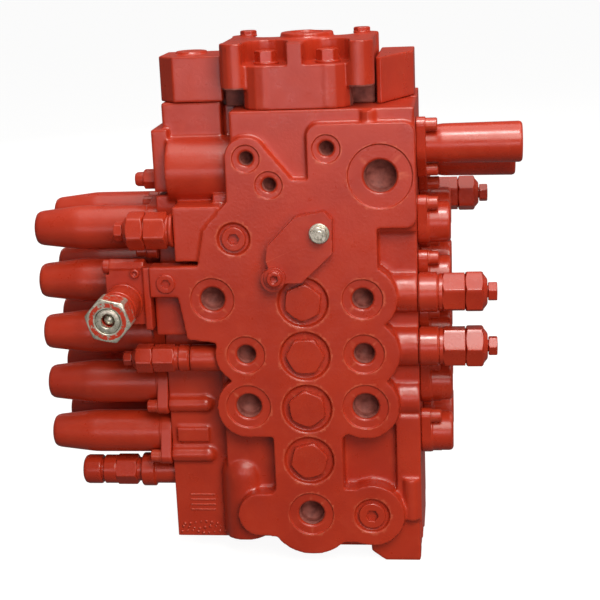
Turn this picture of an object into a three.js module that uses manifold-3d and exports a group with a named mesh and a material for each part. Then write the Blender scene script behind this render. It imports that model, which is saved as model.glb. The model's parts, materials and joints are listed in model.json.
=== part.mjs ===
// Hydraulic monoblock valve: an excavator-type main control valve.
// Two cast halves stand face to face. Each holds a column of five spools that slide along X,
// with long spring caps on the left and short pilot caps on the right.
// Millimetres, +Z up. X runs along the spools, Y runs from the front port face to the back.

import * as THREE from 'three';
import { mergeVertices } from 'three/addons/utils/BufferGeometryUtils.js';
import Module from 'manifold-3d';

const wasm = await Module();
wasm.setup();

// ---------------------------------------------------------------- driving dimensions

const SPOOLS_PER_ROW = 5;
const SPOOL_PITCH = 63;
const FIRST_SPOOL_Z = 144.5;
const FRONT_ROW_Y = 0;
const REAR_ROW_Y = 84;

const BODY_LEFT = -168;
const BODY_RIGHT = 128;
const BODY_TOP = 534;
const PARTING_Y = 42;
const PORT_FACE_Y = -64;
const REAR_FACE_Y = 2 * PARTING_Y - PORT_FACE_Y;
const JOINT_GAP = 0.3;

const SPOOL_R = 12.5;
const SPOOL_BORE_R = 13.5;
const SPRING_CAP_R = 25.5;
const SPRING_CAP_END = -316;
const PILOT_CAP_R = 24;
const PILOT_CAP_END = 165.5;
const CAP_BOLT_DY = 26;
const CAP_BOLT_DZ = 21;

const CHECK_PLUG_OFFSET_Z = -14;
const CHECK_PLUG_AF = 38;
const CHECK_BORE_R = 18;
const POPPET_R = 11;
const PORT_FLOOR_Y = -32;

// Sides of the polygons that stand for circles.
const FINE = 24;
const MEDIUM = 16;
const COARSE = 8;

// Threaded ports on the front face: x, z, bore radius and spot-face radius.
const FRONT_PORTS = [
  { x: -102.4, z: 324, bore: 13.6, spot: 23.4 },
  { x: -67.4, z: 258.5, bore: 10.7, spot: 20.8 },
  { x: -67.4, z: 196.5, bore: 14.4, spot: 23.4 },
  { x: 67, z: 322.5, bore: 11.8, spot: 22.5 },
  { x: 67, z: 258.5, bore: 11.8, spot: 22.1 },
  { x: 67, z: 195.7, bore: 15, spot: 26 },
  { x: 0, z: 64, bore: 14.7, spot: 26.3 },
  { x: 90, z: 460.5, bore: 18, spot: 35.5 },
  { x: -56.7, z: 483, bore: 7.8, spot: 14.7 },
  { x: -32.5, z: 453.3, bore: 7.8, spot: 14.7 },
  { x: 32.1, z: 492, bore: 8.1, spot: 15.8 },
];

// Shallow seats on the front face that hold screwed-in plugs.
const PLUG_SEATS = [
  { x: -74.6, z: 393.4, seat: 18 },
  { x: 70.8, z: 62.2, seat: 20 },
];

// Threaded ports on the rear face.
const REAR_PORTS = [
  { x: -67, z: 321, bore: 14 },
  { x: -67, z: 195, bore: 14 },
  { x: 67, z: 321, bore: 14 },
  { x: 67, z: 195, bore: 14 },
  { x: 0, z: 450, bore: 18 },
];

// Relief valves lie along X. "out" is the side that they stick out of.
const RELIEFS = [
  { name: 'right_upper', out: 1, face: 128, y: -42, z: 324.5, af: 40, reach: 77 },
  { name: 'right_lower', out: 1, face: 128, y: -42, z: 261.2, af: 40, reach: 77 },
  { name: 'right_rear', out: 1, face: 128, y: 126, z: 404.5, af: 38, reach: 70 },
  { name: 'left_upper', out: -1, face: -143.5, y: -51, z: 402, af: 39, reach: 57 },
  { name: 'left_lower', out: -1, face: -135, y: -42, z: 249, af: 30, reach: 68 },
];

const TOP_BLOCK_Z0 = BODY_TOP + JOINT_GAP;
const TOP_BLOCK_Z1 = 606;
const TOP_POCKET_Z = 582;
const TOP_BLOCK_HALF_X = 86;
const TOP_BLOCK_FRONT = -50;
const TOP_BLOCK_BACK = 86;

const ADAPTER = { x: -206.5, z: 319.5, base: -54, tip: -134, r: 20.5, af: 46, bore: 8 };
const DRAIN = { y: 0, z: 94.3, left: -283.6 };

// ---------------------------------------------------------------- shape helpers

// Turns a closed three.js geometry into a solid that can be joined and cut.
function solid(geometry) {
  geometry.deleteAttribute('normal');
  geometry.deleteAttribute('uv');
  const merged = mergeVertices(geometry, 1e-4);
  const index = merged.index.array;
  const triangles = [];
  for (let i = 0; i < index.length; i += 3) {
    const [a, b, c] = [index[i], index[i + 1], index[i + 2]];
    if (a !== b && b !== c && c !== a) triangles.push(a, b, c);
  }
  const vertProperties = new Float32Array(merged.attributes.position.array);
  const triVerts = new Uint32Array(triangles);
  return new wasm.Manifold(new wasm.Mesh({ numProp: 3, vertProperties, triVerts }));
}

function geometryOf(shape) {
  const mesh = shape.getMesh();
  const geometry = new THREE.BufferGeometry();
  geometry.setAttribute('position', new THREE.BufferAttribute(mesh.vertProperties, 3));
  geometry.setIndex(new THREE.BufferAttribute(mesh.triVerts, 1));
  geometry.computeVertexNormals();
  return geometry;
}

const join = (...shapes) => shapes.reduce((whole, next) => whole.add(next));
const cut = (shape, ...tools) => tools.reduce((whole, tool) => whole.subtract(tool), shape);

function box(x0, x1, y0, y1, z0, z1) {
  const geometry = new THREE.BoxGeometry(x1 - x0, y1 - y0, z1 - z0);
  geometry.translate((x0 + x1) / 2, (y0 + y1) / 2, (z0 + z1) / 2);
  return solid(geometry);
}

// A round bar along one axis. "at" holds the two other coordinates in X, Y, Z order.
function rod(axis, radius, from, to, at, sides = MEDIUM) {
  const geometry = new THREE.CylinderGeometry(radius, radius, to - from, sides);
  const middle = (from + to) / 2;
  if (axis === 'x') geometry.rotateZ(Math.PI / 2).translate(middle, at[0], at[1]);
  if (axis === 'y') geometry.translate(at[0], middle, at[1]);
  if (axis === 'z') geometry.rotateX(Math.PI / 2).translate(at[0], at[1], middle);
  return solid(geometry);
}

const hexBar = (axis, acrossFlats, from, to, at) =>
  rod(axis, acrossFlats / Math.sqrt(3), from, to, at, 6);

// A body turned about a line along X, from a profile of [x, radius] pairs with rising x.
function turned(profile, y, z, sides = MEDIUM) {
  const points = profile.map(([x, r]) => new THREE.Vector2(r, x));
  const geometry = new THREE.LatheGeometry(points, sides);
  geometry.rotateZ(-Math.PI / 2).translate(0, y, z);
  return solid(geometry);
}

// An outline in X and Z, extruded from y0 back to y1.
function plate(outline, y0, y1) {
  const shape = new THREE.Shape(outline.map(([x, z]) => new THREE.Vector2(x, z)));
  const geometry = new THREE.ExtrudeGeometry(shape, { depth: y1 - y0, bevelEnabled: false });
  geometry.rotateX(Math.PI / 2).translate(0, y1, 0);
  return solid(geometry);
}

// An outline in X and Y, extruded from z0 up to z1.
function slab(outline, z0, z1) {
  const shape = new THREE.Shape(outline.map(([x, y]) => new THREE.Vector2(x, y)));
  const geometry = new THREE.ExtrudeGeometry(shape, { depth: z1 - z0, bevelEnabled: false });
  geometry.translate(0, 0, z0);
  return solid(geometry);
}

// A rectangle in X and Z with rounded corners, extruded along Y.
function roundedPlate(x0, x1, z0, z1, radius, y0, y1) {
  const corners = [[x1, z1], [x0, z1], [x0, z0], [x1, z0]];
  const inward = [[-1, -1], [1, -1], [1, 1], [-1, 1]];
  const steps = 5;
  const outline = corners.flatMap(([x, z], corner) => {
    const cx = x + inward[corner][0] * radius;
    const cz = z + inward[corner][1] * radius;
    return Array.from({ length: steps + 1 }, (_, step) => {
      const angle = (corner + step / steps) * Math.PI / 2;
      return [cx + radius * Math.cos(angle), cz + radius * Math.sin(angle)];
    });
  });
  return plate(outline, y0, y1);
}

// ---------------------------------------------------------------- materials

const paint = (name, colour, roughness) =>
  new THREE.MeshStandardMaterial({ name, color: colour, roughness, metalness: 0 });
const metal = (name, colour, roughness) =>
  new THREE.MeshStandardMaterial({ name, color: colour, roughness, metalness: 1 });

const castPaint = paint('cast_paint', 0xad3220, 0.45);
const fittingPaint = paint('fitting_paint', 0xb23a26, 0.4);
const zincSteel = metal('zinc_steel', 0xaaaa96, 0.35);
const groundSteel = metal('ground_steel', 0xb8b9bb, 0.2);

const valve = new THREE.Group();

function addPart(name, shape, material) {
  const mesh = new THREE.Mesh(geometryOf(shape), material);
  mesh.name = name;
  valve.add(mesh);
}

// ---------------------------------------------------------------- spool rows

const spoolZ = (index) => FIRST_SPOOL_Z + index * SPOOL_PITCH;
const rows = [
  { name: 'front', y: FRONT_ROW_Y, toFace: -1 },
  { name: 'rear', y: REAR_ROW_Y, toFace: 1 },
];

function spoolBores(y) {
  const bores = [];
  for (let i = 0; i < SPOOLS_PER_ROW; i += 1) {
    bores.push(rod('x', SPOOL_BORE_R, BODY_LEFT - 1, BODY_RIGHT + 1, [y, spoolZ(i)], COARSE));
  }
  return bores;
}

const checkPlugZ = [3, 2, 1, 0].map((i) => spoolZ(i) + CHECK_PLUG_OFFSET_Z);

// Bores for the load checks: a wide thread for the plug, then the poppet's guide.
function checkBores() {
  return checkPlugZ.flatMap((z) => [
    rod('y', 28, PORT_FACE_Y - 1, PORT_FACE_Y + 2, [0, z], FINE),
    rod('y', CHECK_BORE_R, PORT_FACE_Y - 1, -46, [0, z], MEDIUM),
    rod('y', POPPET_R + 1.5, -47, -20, [0, z], COARSE),
  ]);
}

function portBores() {
  const spotDepth = 1.6;
  const open = FRONT_PORTS.flatMap(({ x, z, bore, spot }) => [
    rod('y', spot, PORT_FACE_Y - 1, PORT_FACE_Y + spotDepth, [x, z], MEDIUM),
    rod('y', bore, PORT_FACE_Y - 1, PORT_FLOOR_Y, [x, z], MEDIUM),
  ]);
  const seats = PLUG_SEATS.map(({ x, z, seat }) =>
    rod('y', seat, PORT_FACE_Y - 1, PORT_FACE_Y + 3, [x, z]));
  return [...open, ...seats];
}

// ---------------------------------------------------------------- front casting

// The machined front face stands 20 mm proud of the casting. Round lobes surround the ports.
function portFacePlateau() {
  const y0 = PORT_FACE_Y;
  const y1 = -40;
  const lobe = (x, z, radius) => rod('y', radius, y0, y1, [x, z], FINE);
  const panel = (outline) => plate(outline, y0, y1);
  return join(
    roundedPlate(10.5, 129, 402, 519, 13, y0, y1),
    panel([[-41, 60], [39.5, 60], [39.5, 158], [84.8, 196], [84.8, 410], [-41, 410]]),
    panel([
      [-80.7, 483], [-80.7, 436], [-109, 404], [-117.5, 362.7], [-173.4, 362.7],
      [-173.4, 326.5], [-142, 326.5], [-134, 277], [-104, 273], [-40, 240], [20, 258],
      [20, 459], [-7, 459], [-38.5, 498],
    ]),
    panel([[-67, 158.5], [0, 158.5], [0, 260], [-67, 260]]),
    panel([[-60, 36], [71, 26], [80, 97], [-60, 88]]),
    lobe(-56.7, 483, 24),
    lobe(-102.4, 324, 38),
    lobe(-67.4, 258.5, 35.5),
    lobe(-67.4, 195, 36.5),
    lobe(67, 322.5, 39),
    lobe(67, 258.5, 40.5),
    lobe(67, 195.7, 38.5),
    lobe(0, 64, 51),
    lobe(-60, 62, 26.5),
    lobe(71, 62, 37.5),
  );
}

// Raised bosses that the relief valves screw into, and the step under the left arm.
function frontReliefBosses() {
  return join(
    rod('x', 23, 70, BODY_RIGHT, [-38, 324.5]),
    rod('x', 23, 70, BODY_RIGHT, [-38, 261.2]),
    rod('x', 21, 70, BODY_RIGHT, [-34, 198]),
    box(-143, -90, -61, -20, 368, 430),
    box(-166, -130, -47, -20, 278, 324),
    box(-172.5, -164, -47, -37, 278, 324),
    rod('x', 15.5, -134.6, -80, [-42, 249]),
  );
}

// The cast shoulder, barrel and flange at the upper left.
function frontShoulder() {
  return join(
    box(-158, -90, -12, PARTING_Y - 0.15, 430, 540),
    box(-92, -70, 8, PARTING_Y - 0.15, 430, BODY_TOP),
    rod('x', 37, -152, -70, [-8, 464], FINE),
    box(-170, -151, -20, PARTING_Y - 0.15, 440, 511),
  );
}

function frontBody() {
  const back = PARTING_Y - 0.15;
  const lugs = [0, 1].map((i) =>
    rod('x', 10, BODY_LEFT, -124, [-CAP_BOLT_DY + 3, spoolZ(i) - CAP_BOLT_DZ], COARSE));
  const casting = join(
    box(BODY_LEFT, BODY_RIGHT, -24, back, 17, 436),
    box(-100, BODY_RIGHT, -42, back, 34, 440),
    box(-75, BODY_RIGHT, -54, back, 396, BODY_TOP),
    box(-58, 126, -10, back, 0, 40),
    plate([[68, 12], [84, 0], [126, 0], [126, 60], [68, 60]], -50, -20),
    box(100, BODY_RIGHT, -52, -30, 50, 180),
    rod('z', 10, 54, 104, [116.5, -50]),
    rod('z', 27, 24, 106, [-82, -24]),
    rod('z', 21, 104, 119, [-82, -24]),
    rod('y', 22, -42, -20, [-102.4, 324]),
    box(-160, -122, -29, -20, 140, 158),
    rod('z', 9, BODY_TOP - 22, BODY_TOP - 2, [78, -52], COARSE),
    portFacePlateau(),
    frontReliefBosses(),
    frontShoulder(),
    ...lugs,
  );
  return cut(casting, ...spoolBores(FRONT_ROW_Y), ...checkBores(), ...portBores());
}

// ---------------------------------------------------------------- rear casting

function rearPlateau() {
  const y0 = REAR_FACE_Y - 24;
  const y1 = REAR_FACE_Y;
  const lobes = REAR_PORTS.map(({ x, z }) => rod('y', 39, y0, y1, [x, z]));
  return join(
    roundedPlate(-60, 60, 60, 490, 14, y0, y1),
    roundedPlate(-90, 90, 170, 350, 20, y0, y1),
    ...lobes,
  );
}

function rearBody() {
  const casting = join(
    box(BODY_LEFT, BODY_RIGHT, PARTING_Y + 0.15, 112, 0, 436),
    box(-100, BODY_RIGHT, PARTING_Y + 0.15, 127, 17, BODY_TOP),
    box(-150, -90, PARTING_Y + 0.15, 100, 400, 500),
    rod('x', 23, 70, BODY_RIGHT, [123, 404.5]),
    rearPlateau(),
  );
  const ports = REAR_PORTS.map(({ x, z, bore }) =>
    rod('y', bore, REAR_FACE_Y - 30, REAR_FACE_Y + 1, [x, z]));
  return cut(casting, ...spoolBores(REAR_ROW_Y), ...ports);
}

// ---------------------------------------------------------------- top blocks

// The flanged port block on top: corner lobes, and pockets that the bolt heads sit in.
function topPortBlock() {
  const front = TOP_BLOCK_FRONT;
  const back = TOP_BLOCK_BACK;
  const pocketFloor = TOP_POCKET_Z;
  const ear = (x, y) => rod('z', 17, 556, TOP_BLOCK_Z1, [x, y]);
  const columns = [[-34, front + 24], [34, front + 24], [-34, back - 24], [34, back - 24]];
  const base = join(
    box(-34, 34, front - 2, back + 2, TOP_BLOCK_Z0, pocketFloor),
    box(-84, 84, front + 40, back - 12, TOP_BLOCK_Z0, 560),
    ...columns.map(([x, y]) => rod('z', 27, TOP_BLOCK_Z0, pocketFloor, [x, y])),
  );
  const crown = join(
    box(-TOP_BLOCK_HALF_X + 12, TOP_BLOCK_HALF_X - 12, front + 30, back - 30, 560, TOP_BLOCK_Z1),
    box(-30, 30, front - 2, back + 2, 560, TOP_BLOCK_Z1),
    box(-TOP_BLOCK_HALF_X + 3, -56, front + 14, back - 14, 556, TOP_BLOCK_Z1),
    box(56, TOP_BLOCK_HALF_X - 3, front + 14, back - 14, 556, TOP_BLOCK_Z1),
    ear(-67.5, front + 17),
    ear(68.5, front + 17),
    ear(-68.5, back - 17),
    ear(68.5, back - 17),
    rod('z', 30, TOP_BLOCK_Z1 - 2, TOP_BLOCK_Z1 + 6, [7, 24], FINE),
  );
  const pockets = columns.flatMap(([x, y]) => {
    const outside = y < 0 ? [y - 40, y] : [y, y + 40];
    return [
      rod('z', 25, pocketFloor, TOP_BLOCK_Z1 + 7, [x, y]),
      box(x - 25, x + 25, ...outside, pocketFloor, TOP_BLOCK_Z1 + 7),
    ];
  });
  const port = rod('z', 12, 570, TOP_BLOCK_Z1 + 7, [7, 24]);
  return cut(join(base, crown), ...pockets, port);
}

function upperLeftBlock() {
  const outline = [[-160, 3], [-142, -15], [-86.6, -15], [-86.6, 57], [-160, 57]];
  return join(
    slab(outline, 540.3, 591),
    rod('z', 18, 590, 594.5, [-126, 24]),
  );
}

function upperRightBlock() {
  const outline = [[86.4, -20], [92, -22], [125, 51], [125, 103], [86.4, 103]];
  return slab(outline, BODY_TOP + JOINT_GAP, 585);
}

// ---------------------------------------------------------------- caps and spools

// A cap's flange is the tight outline round its barrel and two bolt ears.
function capFlange(x0, x1, radius, y, z, ears) {
  const circles = [[0, 0, radius], ...ears.map(([dy, dz]) => [dy, dz, 9])];
  const steps = 20;
  const outline = Array.from({ length: steps }, (_, step) => {
    const angle = (step / steps) * 2 * Math.PI;
    const [c, s] = [Math.cos(angle), Math.sin(angle)];
    const reach = circles.map(([cy, cz, r]) => cy * c + cz * s + r);
    const [cy, cz, r] = circles[reach.indexOf(Math.max(...reach))];
    return new THREE.Vector2(cy + r * c, cz + r * s);
  });
  const geometry = new THREE.ExtrudeGeometry(new THREE.Shape(outline), {
    depth: x1 - x0,
    bevelEnabled: false,
  });
  geometry.rotateX(Math.PI / 2).rotateZ(Math.PI / 2).translate(x0, y, z);
  return solid(geometry);
}

function springCap(y, z, ears) {
  const inner = BODY_LEFT - JOINT_GAP;
  const barrel = turned([
    [SPRING_CAP_END, 0], [SPRING_CAP_END, 17], [SPRING_CAP_END + 3.5, 20.5],
    [-264, SPRING_CAP_R], [inner, SPRING_CAP_R], [inner, 0],
  ], y, z);
  const flange = capFlange(BODY_LEFT - 13, inner, 26, y, z, ears);
  const hollow = rod('x', 17, -300, inner + 1, [y, z], COARSE);
  return cut(join(barrel, flange), hollow);
}

function pilotCap(y, z, ears) {
  const inner = BODY_RIGHT + JOINT_GAP;
  const barrel = turned([
    [inner, 0], [inner, PILOT_CAP_R], [PILOT_CAP_END - 4, PILOT_CAP_R],
    [PILOT_CAP_END, PILOT_CAP_R - 4], [PILOT_CAP_END, 0],
  ], y, z);
  const flange = capFlange(inner, BODY_RIGHT + 11, 25, y, z, ears);
  const hollow = rod('x', 16, inner - 1, PILOT_CAP_END - 7, [y, z], COARSE);
  const clearances = RELIEFS.filter(({ out }) => out > 0).map((relief) =>
    rod('x', relief.af / Math.sqrt(3) + 1.2, inner - 1, PILOT_CAP_END + 1, [relief.y, relief.z]));
  return cut(join(barrel, flange), hollow, ...clearances);
}

// Lands and metering grooves, with a thin stem at the left that carries the centring spring.
function spool(y, z) {
  const groove = SPOOL_R - 4;
  return turned([
    [-232, 0], [-232, 9], [-227, 9], [-227, 5], [-172, 5], [-172, SPOOL_R],
    [-80, SPOOL_R], [-80, groove], [-52, groove], [-52, SPOOL_R],
    [14, SPOOL_R], [14, groove], [42, groove], [42, SPOOL_R],
    [141, SPOOL_R], [141, 0],
  ], y, z, COARSE);
}

// ---------------------------------------------------------------- relief valves

// Distances are measured outward from the casting's face.
function reliefBody({ out, face, y, z, af, reach }) {
  const start = face + out * JOINT_GAP;
  const along = (a, b) => [start + out * a, start + out * b].sort((p, q) => p - q);
  const bar = (radius, a, b, sides) => rod('x', radius, ...along(a, b), [y, z], sides);
  const nut = (flats, a, b) => hexBar('x', flats, ...along(a, b), [y, z]);
  const collar = reach - 50;
  const sleeve = af * 0.52;
  const parts = [
    bar(sleeve, 0, Math.max(collar - 5, 4), MEDIUM),
    bar(sleeve * 0.78, 0, reach - 20, COARSE),
    nut(af * 0.93, collar, reach - 25),
    nut(af, reach - 24.5, reach - 4),
    bar(af * 0.42, reach - 6, reach, COARSE),
  ];
  return cut(join(...parts), bar(af * 0.21, reach - 16, reach + 1, COARSE));
}

function reliefScrew({ out, face, y, z, af, reach }) {
  const start = face + out * JOINT_GAP;
  const along = (a, b) => [start + out * a, start + out * b].sort((p, q) => p - q);
  const shankEnd = reach + 1;
  return join(
    rod('x', af * 0.18, ...along(reach - 14, shankEnd + 2), [y, z], COARSE),
    hexBar('x', af * 0.46, ...along(shankEnd, reach + 11), [y, z]),
  );
}

// ---------------------------------------------------------------- fittings and small parts

// Hex plug that closes a load check, and the poppet behind it.
function checkPlug(z) {
  const head = PORT_FACE_Y - 5;
  return join(
    hexBar('y', CHECK_PLUG_AF, head, PORT_FACE_Y + 1.7, [0, z]),
    rod('y', CHECK_PLUG_AF / 2 - 2, head - 1.5, head + 1, [0, z]),
    rod('y', CHECK_BORE_R - 1, PORT_FACE_Y, -48, [0, z]),
  );
}

function checkPoppet(z) {
  return join(
    rod('y', POPPET_R, -40, -26, [0, z], COARSE),
    rod('y', POPPET_R - 4, -27, -21, [0, z], COARSE),
  );
}

function coverPlate() {
  const y0 = PORT_FACE_Y - 14;
  const y1 = PORT_FACE_Y - JOINT_GAP;
  const ends = [{ x: 22.7, z: 401.3 }, { x: -30.9, z: 348.9 }];
  const outline = [
    [-4, 419.5], [28, 425], [37, 415], [36, 378], [1, 345.5], [-30, 345], [-38, 371],
    [-36, 387],
  ];
  return cut(
    join(plate(outline, y0, y1), ...ends.map(({ x, z }) => rod('y', 13.5, y0, y1, [x, z]))),
    rod('y', 5.3, y0 - 1, y1 + 1, [ends[0].x, ends[0].z], COARSE),
  );
}

function coverBolt() {
  const seat = PORT_FACE_Y - 14 - JOINT_GAP;
  return join(
    hexBar('y', 17, seat - 10, seat - 2, [22.7, 401.3]),
    rod('y', 11.5, seat - 2.5, seat, [22.7, 401.3]),
    rod('y', 4.8, seat - 2, PORT_FACE_Y - 1, [22.7, 401.3], COARSE),
  );
}

// Block that carries the pilot adapter, bolted to the left arm of the port face.
function adapterBlock() {
  return join(
    box(-226, -181, ADAPTER.base, -37, 293, 352),
    box(-181.5, -173.7, -60, -37, 288, 361),
    rod('x', 9, -222, -181, [-46, 360], COARSE),
    box(-222, -181, -54, -38, 345, 362),
  );
}

function adapterFitting() {
  const { x, z, base, tip, r, af, bore } = ADAPTER;
  return cut(
    join(
      rod('y', r, -100, base - JOINT_GAP, [x, z], FINE),
      rod('y', r - 3, tip + 20, -98, [x, z]),
      hexBar('y', af, tip, tip + 26, [x, z]),
    ),
    rod('y', bore, tip - 1, -90, [x, z]),
    rod('y', 14, tip - 1, tip + 3, [x, z]),
  );
}

function drainFitting() {
  const { y, z, left } = DRAIN;
  const right = BODY_LEFT - JOINT_GAP;
  return join(
    turned([
      [left, 0], [left, 14.5], [left + 4, 17.8], [left + 23, 17.8], [left + 23, 14],
      [left + 26, 14], [left + 26, 17.5], [left + 41, 17.5], [left + 41, 0],
    ], y, z),
    hexBar('x', 33, left + 40, left + 67, [y, z]),
    turned([
      [left + 66, 0], [left + 66, 14.5], [left + 73, 14.5], [left + 73, 20.5],
      [left + 89, 20.5], [left + 89, 17.5], [right, 17.5], [right, 0],
    ], y, z),
  );
}

// Long caps at the upper right, over the two travel spools. Each has a flange with two ears.
function longCap(y, z, end, radius, ears) {
  const inner = BODY_RIGHT + JOINT_GAP;
  const barrel = turned([
    [inner, 0], [inner, radius - 1.5], [inner + 24, radius], [end - 3, radius + 0.8],
    [end, radius - 2], [end, 0],
  ], y, z, FINE);
  const flange = capFlange(inner, BODY_RIGHT + 11, 25, y, z, ears);
  return cut(join(barrel, flange), rod('x', radius - 8, inner - 1, end - 14, [y, z], COARSE));
}

// ---------------------------------------------------------------- assembly

addPart('front_body', frontBody(), castPaint);
addPart('rear_body', rearBody(), castPaint);
addPart('top_port_block', topPortBlock(), castPaint);
addPart('upper_left_block', upperLeftBlock(), castPaint);
addPart('upper_right_block', upperRightBlock(), castPaint);
addPart('adapter_block', adapterBlock(), castPaint);

for (const { name, y, toFace } of rows) {
  for (let i = 0; i < SPOOLS_PER_ROW; i += 1) {
    const z = spoolZ(i);
    const label = `${name}_${i + 1}`;
    // The ear nearest the port face points down, except where the lower left relief passes.
    const flip = name === 'front' && i === 2 ? -1 : 1;
    const [earY, earZ] = [toFace * CAP_BOLT_DY, flip * CAP_BOLT_DZ];
    const springEars = [[earY, -earZ], [-earY, earZ]];
    const pilotEars = [[toFace * 20, 25.5], [-toFace * 20, -25.5]];
    addPart(`spool_${label}`, spool(y, z), groundSteel);
    addPart(`spring_cap_${label}`, springCap(y, z, springEars), castPaint);
    addPart(`pilot_cap_${label}`, pilotCap(y, z, pilotEars), castPaint);
  }
}

checkPlugZ.forEach((z, i) => {
  addPart(`check_plug_${i + 1}`, checkPlug(z), fittingPaint);
  addPart(`check_poppet_${i + 1}`, checkPoppet(z), groundSteel);
});

for (const relief of RELIEFS) {
  addPart(`relief_valve_${relief.name}`, reliefBody(relief), fittingPaint);
  addPart(`relief_screw_${relief.name}`, reliefScrew(relief), fittingPaint);
}

addPart('long_cap_front', longCap(10, 484, 246, 22.4, [[-18, 24], [6, -30]]), castPaint);
addPart('long_cap_rear', longCap(64, 460, 240, 22.4, [[18, 24], [-6, -30]]), castPaint);
addPart('adapter_fitting', adapterFitting(), zincSteel);
addPart('drain_fitting', drainFitting(), fittingPaint);
addPart('cover_plate', coverPlate(), castPaint);
addPart('cover_bolt', coverBolt(), zincSteel);

export default valve;
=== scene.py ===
import json
import math

import bmesh
import bpy
from mathutils import Matrix, Vector


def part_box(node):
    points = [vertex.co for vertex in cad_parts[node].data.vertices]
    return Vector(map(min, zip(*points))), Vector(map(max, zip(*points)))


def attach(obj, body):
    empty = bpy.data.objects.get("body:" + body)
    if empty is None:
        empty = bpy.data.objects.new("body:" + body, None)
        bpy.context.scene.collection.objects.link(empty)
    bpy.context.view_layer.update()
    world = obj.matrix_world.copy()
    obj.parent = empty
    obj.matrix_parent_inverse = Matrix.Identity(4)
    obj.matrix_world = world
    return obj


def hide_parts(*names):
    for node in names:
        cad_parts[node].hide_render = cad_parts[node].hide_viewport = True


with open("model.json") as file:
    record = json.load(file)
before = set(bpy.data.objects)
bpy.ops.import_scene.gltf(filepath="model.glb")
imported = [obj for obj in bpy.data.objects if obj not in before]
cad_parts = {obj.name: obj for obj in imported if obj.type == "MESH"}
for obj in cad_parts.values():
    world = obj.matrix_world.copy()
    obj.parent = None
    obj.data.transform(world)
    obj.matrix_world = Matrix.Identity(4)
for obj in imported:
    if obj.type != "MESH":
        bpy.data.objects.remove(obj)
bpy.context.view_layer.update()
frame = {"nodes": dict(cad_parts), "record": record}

NODES = frame["nodes"]
OPENINGS = {o["name"]: o["box_m"] for o in frame["record"]["physics"]["openings"]}
MM = 0.001
HOUSING = "housing"

# ---------------------------------------------------------------- camera, light, floor


def make_camera():
    """The photograph's view: 15 degrees down, 6.8 degrees from the right, rolled by 2.4 degrees."""
    pitch, azimuth, roll = (math.radians(a) for a in (15.0, 6.8, 2.4))
    forward = Vector((
        -math.sin(azimuth) * math.cos(pitch),
        math.cos(azimuth) * math.cos(pitch),
        -math.sin(pitch),
    ))
    right = Vector((math.cos(azimuth), math.sin(azimuth), 0))
    up = right.cross(forward)
    right_rolled = right * math.cos(roll) - up * math.sin(roll)
    up_rolled = up * math.cos(roll) + right * math.sin(roll)
    place = (0.1761, -1.5656, 0.7280)
    data = bpy.data.cameras.new("camera")
    data.sensor_width = 36
    data.lens = 84
    data.clip_end = 50
    camera = bpy.data.objects.new("camera", data)
    camera.matrix_world = Matrix((
        (right_rolled.x, up_rolled.x, -forward.x, place[0]),
        (right_rolled.y, up_rolled.y, -forward.y, place[1]),
        (right_rolled.z, up_rolled.z, -forward.z, place[2]),
        (0, 0, 0, 1),
    ))
    bpy.context.scene.collection.objects.link(camera)
    bpy.context.scene.camera = camera


def area_light(name, place, target, size, power, colour, diffuse=True, glossy=True):
    """A panel in metres and watts, aimed at a target. It may light only one kind of surface."""
    data = bpy.data.lights.new(name, "AREA")
    data.shape = "RECTANGLE"
    data.size, data.size_y = size
    data.energy = power
    data.color = colour
    light = bpy.data.objects.new(name, data)
    light.location = place
    direction = Vector(target) - Vector(place)
    light.rotation_euler = direction.to_track_quat("-Z", "Y").to_euler()
    light.visible_camera = False
    light.visible_diffuse = diffuse
    light.visible_glossy = glossy
    bpy.context.scene.collection.objects.link(light)


def make_world():
    """A white backdrop as seen directly, and a dim room as a source of light."""
    world = bpy.data.worlds.new("studio")
    world.use_nodes = True
    tree = world.node_tree
    room = tree.nodes["Background"]
    room.inputs["Color"].default_value = (1.0, 0.97, 0.94, 1)
    room.inputs["Strength"].default_value = 0.13
    backdrop = tree.nodes.new("ShaderNodeBackground")
    backdrop.inputs["Color"].default_value = (1, 1, 1, 1)
    path = tree.nodes.new("ShaderNodeLightPath")
    mix = tree.nodes.new("ShaderNodeMixShader")
    tree.links.new(path.outputs["Is Camera Ray"], mix.inputs["Fac"])
    tree.links.new(room.outputs["Background"], mix.inputs[1])
    tree.links.new(backdrop.outputs["Background"], mix.inputs[2])
    tree.links.new(mix.outputs["Shader"], tree.nodes["World Output"].inputs["Surface"])
    bpy.context.scene.world = world


def make_floor():
    """A round floor, as white as the backdrop and so wide that its edge doesn't show."""
    bm = bmesh.new()
    bmesh.ops.create_circle(bm, cap_ends=True, radius=30, segments=64)
    mesh = bpy.data.meshes.new("floor")
    bm.to_mesh(mesh)
    bm.free()
    floor = bpy.data.objects.new("floor", mesh)
    bpy.context.scene.collection.objects.link(floor)
    pale = bpy.data.materials.new("pale_floor")
    pale.use_nodes = True
    shader = pale.node_tree.nodes["Principled BSDF"]
    shader.inputs["Base Color"].default_value = (0.14, 0.14, 0.138, 1)
    shader.inputs["Roughness"].default_value = 0.9
    shader.inputs["Emission Color"].default_value = (1, 1, 1, 1)
    shader.inputs["Emission Strength"].default_value = 0.935
    mesh.materials.append(pale)
    floor.visible_glossy = False
    floor.visible_diffuse = False


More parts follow.
